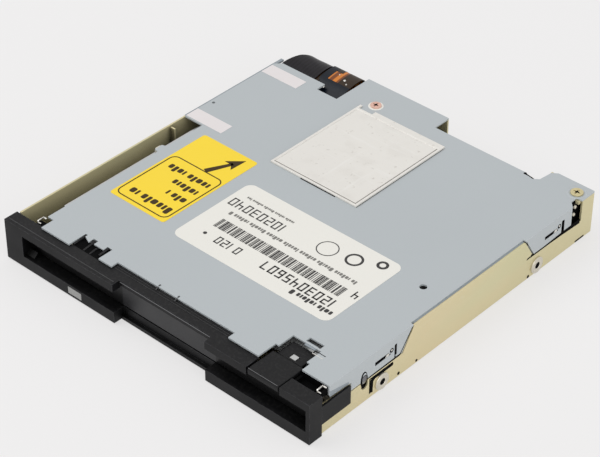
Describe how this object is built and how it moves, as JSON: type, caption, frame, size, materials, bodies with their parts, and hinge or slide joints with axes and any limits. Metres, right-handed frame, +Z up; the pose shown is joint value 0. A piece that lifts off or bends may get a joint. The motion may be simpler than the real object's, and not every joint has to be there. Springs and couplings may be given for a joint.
{
  "type": "floppy disk drive",
  "caption": "Slim 3.5 inch disk drive with sheet-steel frame and cover, black slotted bezel, eject button, dust flap, disk holder, spindle motor and screw-fed heads.",
  "frame": {"origin": "middle of the underside", "axes": "+X to the right of the bezel, +Y from the bezel to the rear, +Z up through the top cover"},
  "size_m": [0.0982, 0.1044, 0.0127],
  "materials": {
    "chromate_steel": "satin yellow chromate",
    "cover_steel": "satin pale blue-grey",
    "plate_steel": "fine satin bare metal",
    "nut_steel": "bright plating",
    "brass": "satin",
    "copper": "satin",
    "bezel_plastic": "fine texture",
    "lens_plastic": "frosted",
    "led_plastic": "clear",
    "green_board": "solder mask",
    "brown_board": "solder mask",
    "chip_plastic": "moulded",
    "connector_plastic": "moulded",
    "ribbon_film": "satin film",
    "amber_film": "film",
    "core_steel": "laminated",
    "coil_copper": "enamelled wire",
    "magnet": "sintered",
    "zinc_steel": "zinc plating",
    "spring_steel": "drawn wire",
    "white_paper": "printed label",
    "yellow_paper": "printed label",
    "tape": "matt tape",
    "head_ceramic": "polished",
    "carriage_plastic": "moulded"
  },
  "bodies": {
    "chassis": {"chassis_frame": "chromate_steel", "side_nuts": "nut_steel", "top_cover": "cover_steel", "brass_screw": "brass", "copper_screw": "copper", "cover_patch": "plate_steel", "front_bezel": "bezel_plastic", "bezel_hooks": "nut_steel", "indicator_lens": "lens_plastic", "indicator_led": "led_plastic", "main_board": "green_board", "motor_board": "brown_board", "board_chips": "chip_plastic", "board_screws": "zinc_steel", "index_sensor": "chip_plastic", "interface_connector": "connector_plastic", "flex_ribbon": "ribbon_film", "polyimide_flex": "amber_film", "stator_core": "core_steel", "stator_coils": "coil_copper", "spindle_bearing": "brass", "stepper_motor": "zinc_steel", "screw_bracket": "zinc_steel", "guide_rod": "nut_steel", "rod_clamps": "carriage_plastic", "lever_pin": "nut_steel", "sense_switches": "connector_plastic", "white_label": "white_paper", "yellow_label": "yellow_paper", "edge_tapes": "tape", "eject_springs": "spring_steel"},
    "eject": {"eject_button": "bezel_plastic", "slide_plate": "zinc_steel"},
    "holder": {"disk_holder": "zinc_steel", "holder_pins": "nut_steel"},
    "flap": {"dust_flap": "bezel_plastic"},
    "rotor": {"rotor_yoke": "zinc_steel", "rotor_magnet": "magnet", "spindle_hub": "nut_steel", "drive_pin": "brass"},
    "carriage": {"head_carriage": "carriage_plastic", "lower_head": "head_ceramic", "feed_pin": "nut_steel", "arm_pin": "nut_steel"},
    "arm": {"head_arm": "zinc_steel", "upper_head": "head_ceramic", "arm_spring": "spring_steel"},
    "screw": {"lead_screw": "nut_steel"},
    "lever": {"trigger_lever": "zinc_steel"},
    "write_protect": {"write_protect_plunger": "chip_plastic"},
    "density": {"density_plunger": "chip_plastic"},
    "disk_sense": {"disk_sense_plunger": "chip_plastic"}
  },
  "joints": [
    {"name": "eject_slide", "type": "slide", "parent": "chassis", "child": "eject", "axis": [0, -1, 0], "range_m": [0, 0.003], "deforming": ["eject_springs"]},
    {"name": "holder_drop", "type": "slide", "parent": "chassis", "child": "holder", "axis": [0, 0, -1], "range_m": [0, 0.0018]},
    {"name": "arm_lift", "type": "hinge", "parent": "carriage", "child": "arm", "pos_m": [-0.00325, 0.0471, 0.0102], "axis": [1, 0, 0], "range_deg": [0, 26]},
    {"name": "lever_turn", "type": "hinge", "parent": "chassis", "child": "lever", "pos_m": [0.044, 0.049, 0.0039], "axis": [0, 0, -1], "range_deg": [0, 15]},
    {"name": "flap_swing", "type": "hinge", "parent": "chassis", "child": "flap", "pos_m": [0.00245, -0.0485, 0.0092], "axis": [1, 0, 0], "range_deg": [0, 88], "stiffness_Nm_per_rad": 0.0001},
    {"name": "spindle_spin", "type": "hinge", "parent": "chassis", "child": "rotor", "pos_m": [0.00245, -0.0012, 0.0026], "axis": [0, 0, 1], "continuous": true},
    {"name": "head_slide", "type": "slide", "parent": "chassis", "child": "carriage", "axis": [0, -1, 0], "range_m": [0, 0.0148]},
    {"name": "screw_turn", "type": "hinge", "parent": "chassis", "child": "screw", "pos_m": [-0.017, 0.0328, 0.0022], "axis": [0, 1, 0], "range_deg": [0, 1425]},
    {"name": "write_protect_press", "type": "slide", "parent": "chassis", "child": "write_protect", "axis": [0, 0, -1], "range_m": [0, 0.0012], "stiffness_N_per_m": 250},
    {"name": "density_press", "type": "slide", "parent": "chassis", "child": "density", "axis": [0, 0, -1], "range_m": [0, 0.0012], "stiffness_N_per_m": 250},
    {"name": "disk_sense_press", "type": "slide", "parent": "chassis", "child": "disk_sense", "axis": [0, 0, -1], "range_m": [0, 0.0012], "stiffness_N_per_m": 250}
  ],
  "couplings": [
    {"joint": "holder_drop", "follows": "eject_slide", "ratio": 0.6},
    {"joint": "arm_lift", "follows": "eject_slide", "rad_per_m": 151.25},
    {"joint": "lever_turn", "follows": "eject_slide", "rad_per_m": 87.258},
    {"joint": "screw_turn", "follows": "head_slide", "rad_per_m": 1675.5}
  ]
}
